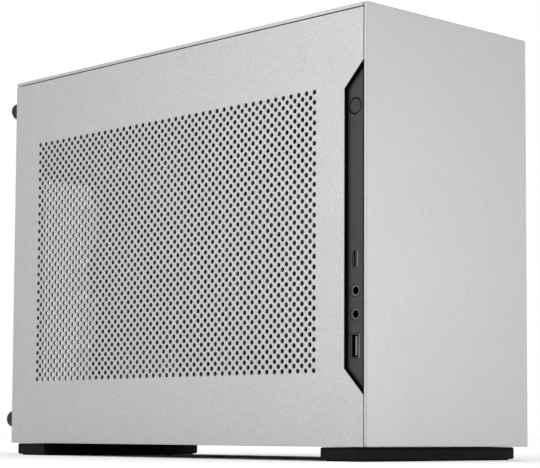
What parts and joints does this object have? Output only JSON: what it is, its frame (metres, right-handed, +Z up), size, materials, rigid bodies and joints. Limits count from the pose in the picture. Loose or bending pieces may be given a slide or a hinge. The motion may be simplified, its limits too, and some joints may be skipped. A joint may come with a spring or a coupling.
{
  "type": "desktop computer tower",
  "caption": "Small aluminium desktop computer tower with perforated removable side panels, a side port strip with power button, bar feet, and its board, card, cooling and power supply inside.",
  "frame": {"origin": "centre of the bounding box at the underside of the feet", "axes": "+Z up, -Y out of the plain front panel, +X to the right seen from the front"},
  "size_m": [0.14, 0.333, 0.252],
  "materials": {
    "anodised_aluminium": "fine bead-blasted and anodised, satin silver",
    "black_steel": "fine-textured black powder coat",
    "black_rubber": "matt",
    "black_knurled_metal": "black zinc, knurled",
    "black_plastic": "fine-textured matt",
    "black_painted_radiator": "satin black paint",
    "memory_heat_spreader": "dark anodised",
    "plated_steel": "bright nickel plate",
    "fin_aluminium": "plain extruded fins",
    "circuit_board": "semi-gloss dark solder mask",
    "zinc_steel": "bright zinc plate",
    "cable_sheath": "woven black sleeve"
  },
  "bodies": {
    "case": {"base_plate": "black_steel", "rear_wall": "black_steel", "front_frame": "black_steel", "top_frame": "black_steel", "center_tray": "black_steel", "io_strip": "black_steel", "psu_housing": "black_steel", "psu_bracket": "black_steel", "slot_cover": "black_steel", "gpu_backplate": "black_steel", "front_foot": "black_rubber", "rear_foot": "black_rubber", "coolant_hose_front": "black_rubber", "coolant_hose_rear": "black_rubber", "audio_jack_upper": "black_plastic", "audio_jack_lower": "black_plastic", "pump_block": "black_plastic", "atx_socket": "black_plastic", "pcie_slot": "black_plastic", "fan_frame_front": "black_plastic", "fan_frame_rear": "black_plastic", "ac_inlet": "black_plastic", "gpu_shroud": "black_plastic", "riser_cable": "black_plastic", "radiator": "black_painted_radiator", "memory_module_1": "memory_heat_spreader", "memory_module_2": "memory_heat_spreader", "usb_c_port": "plated_steel", "usb_a_port": "plated_steel", "processor": "plated_steel", "rear_audio_jacks": "plated_steel", "rear_usb_ports": "plated_steel", "rear_lan_jack": "plated_steel", "rear_display_ports": "plated_steel", "psu_fan_grille": "plated_steel", "ssd_heatsink": "fin_aluminium", "vrm_heatsink": "fin_aluminium", "gpu_heatsink": "fin_aluminium", "motherboard": "circuit_board", "io_board": "circuit_board", "gpu_board": "circuit_board", "gpu_bracket": "zinc_steel", "ac_lead": "cable_sheath", "atx_power_lead": "cable_sheath", "gpu_power_lead": "cable_sheath"},
    "power_button": {"power_button": "black_steel"},
    "left_panel": {"left_side_panel": "anodised_aluminium"},
    "right_panel": {"right_side_panel": "anodised_aluminium"},
    "top_panel": {"top_panel": "anodised_aluminium"},
    "front_panel": {"front_panel": "anodised_aluminium"},
    "thumb_screw_left_lower": {"thumb_screw_left_lower": "black_knurled_metal"},
    "thumb_screw_left_upper": {"thumb_screw_left_upper": "black_knurled_metal"},
    "thumb_screw_right_lower": {"thumb_screw_right_lower": "black_knurled_metal"},
    "thumb_screw_right_upper": {"thumb_screw_right_upper": "black_knurled_metal"},
    "fan_rotor_front": {"fan_rotor_front": "black_plastic"},
    "fan_rotor_rear": {"fan_rotor_rear": "black_plastic"},
    "gpu_fan_rotor_front": {"gpu_fan_rotor_front": "black_plastic"},
    "gpu_fan_rotor_rear": {"gpu_fan_rotor_rear": "black_plastic"},
    "psu_fan_rotor": {"psu_fan_rotor": "black_plastic"},
    "psu_switch": {"psu_switch": "black_plastic"}
  },
  "joints": [
    {"name": "power_button_press", "type": "slide", "parent": "case", "child": "power_button", "axis": [1, 0, 0], "range_m": [0, 0.001], "stiffness_N_per_m": 400, "springref_m": -0.001},
    {"name": "left_panel_slide", "type": "slide", "parent": "case", "child": "left_panel", "axis": [0, 1, 0], "range_m": [0, 0.36]},
    {"name": "right_panel_slide", "type": "slide", "parent": "case", "child": "right_panel", "axis": [0, 1, 0], "range_m": [0, 0.36]},
    {"name": "top_panel_lift", "type": "slide", "parent": "case", "child": "top_panel", "axis": [0, 0, 1], "range_m": [0, 0.12]},
    {"name": "front_panel_pull", "type": "slide", "parent": "case", "child": "front_panel", "axis": [0, -1, 0], "range_m": [0, 0.12]},
    {"name": "thumb_screw_left_lower_turn", "type": "hinge", "parent": "left_panel", "child": "thumb_screw_left_lower", "pos_m": [-0.0645, 0.1595, 0.024], "axis": [0, 1, 0], "range_deg": [0, 1440]},
    {"name": "thumb_screw_left_upper_turn", "type": "hinge", "parent": "left_panel", "child": "thumb_screw_left_upper", "pos_m": [-0.0645, 0.1595, 0.234], "axis": [0, 1, 0], "range_deg": [0, 1440]},
    {"name": "thumb_screw_right_lower_turn", "type": "hinge", "parent": "right_panel", "child": "thumb_screw_right_lower", "pos_m": [0.0645, 0.1595, 0.024], "axis": [0, 1, 0], "range_deg": [0, 1440]},
    {"name": "thumb_screw_right_upper_turn", "type": "hinge", "parent": "right_panel", "child": "thumb_screw_right_upper", "pos_m": [0.0645, 0.1595, 0.234], "axis": [0, 1, 0], "range_deg": [0, 1440]},
    {"name": "fan_front_spin", "type": "hinge", "parent": "case", "child": "fan_rotor_front", "pos_m": [0, -0.0751, 0.203], "axis": [0, 0, 1], "continuous": true},
    {"name": "fan_rear_spin", "type": "hinge", "parent": "case", "child": "fan_rotor_rear", "pos_m": [0, 0.0453, 0.203], "axis": [0, 0, 1], "continuous": true},
    {"name": "gpu_fan_front_spin", "type": "hinge", "parent": "case", "child": "gpu_fan_rotor_front", "pos_m": [0.042, -0.0495, 0.103], "axis": [1, 0, 0], "continuous": true},
    {"name": "gpu_fan_rear_spin", "type": "hinge", "parent": "case", "child": "gpu_fan_rotor_rear", "pos_m": [0.042, 0.0585, 0.103], "axis": [1, 0, 0], "continuous": true},
    {"name": "psu_fan_spin", "type": "hinge", "parent": "case", "child": "psu_fan_rotor", "pos_m": [-0.055, -0.0885, 0.0905], "axis": [1, 0, 0], "continuous": true},
    {"name": "psu_switch_tip", "type": "hinge", "parent": "case", "child": "psu_switch", "pos_m": [-0.05, -0.1397, 0.126], "axis": [-1, 0, 0], "range_deg": [0, 14]}
  ]
}
